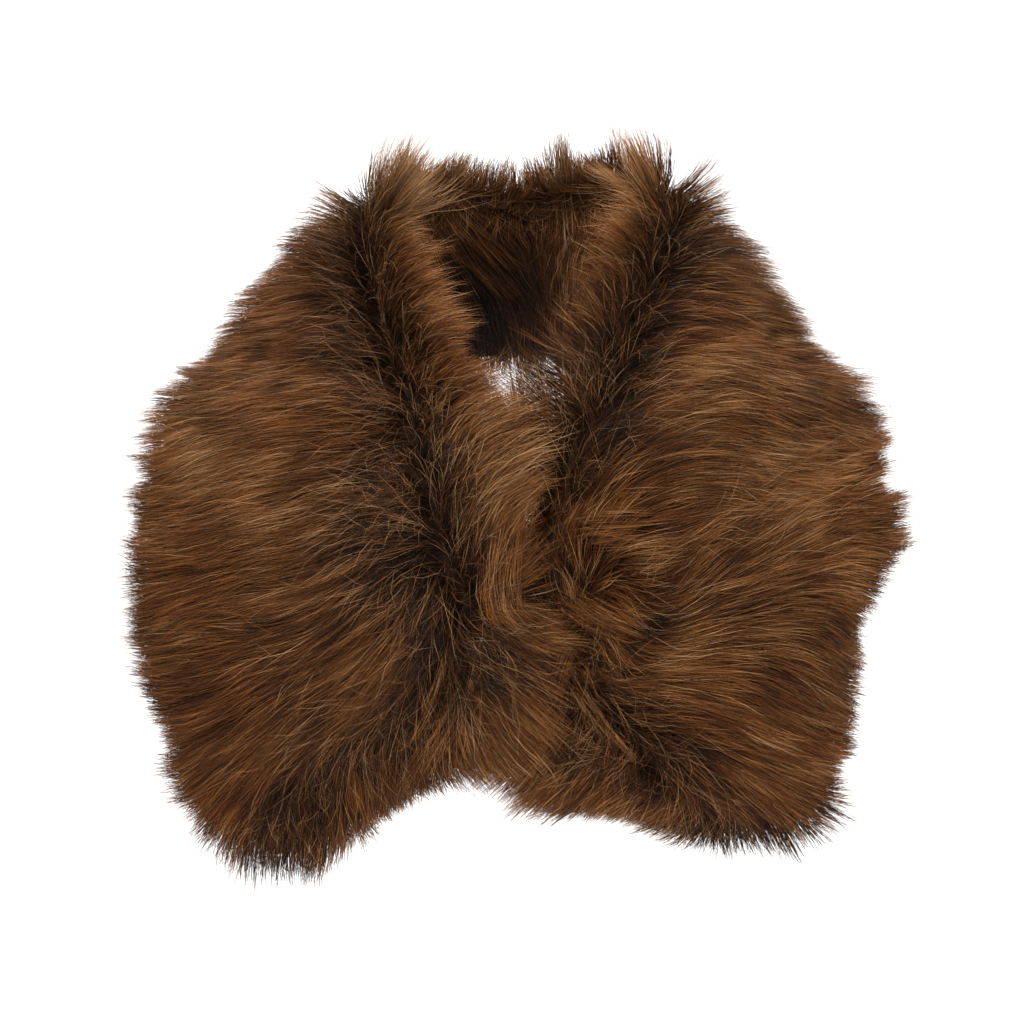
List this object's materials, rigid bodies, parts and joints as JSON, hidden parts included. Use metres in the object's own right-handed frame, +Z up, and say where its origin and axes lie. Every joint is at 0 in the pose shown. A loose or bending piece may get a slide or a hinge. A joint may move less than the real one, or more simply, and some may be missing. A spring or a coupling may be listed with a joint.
{
  "type": "fur scarf",
  "caption": "Long-pile brown fur scarf shaped as worn: a wide strip round the neck and shoulders, its fronts crossed at the chest and rounded at the ends.",
  "frame": {"origin": "centre of the wearer's neck, at the height where the strip comes to rest on the shoulders", "axes": "+Z up, -Y towards the wearer's front, +X towards the wearer's left (the right of the picture)"},
  "size_m": [0.5071, 0.352, 0.4572],
  "materials": {
    "right_front_fur": "long brushed pile, mid brown with dark roots",
    "left_front_fur": "long brushed pile, mid brown with dark roots",
    "neck_stretch_fur": "long brushed pile, mid brown with dark roots"
  },
  "bodies": {
    "root": {"right_front": "right_front_fur", "left_front": "left_front_fur", "neck_stretch": "neck_stretch_fur"}
  },
  "joints": []
}
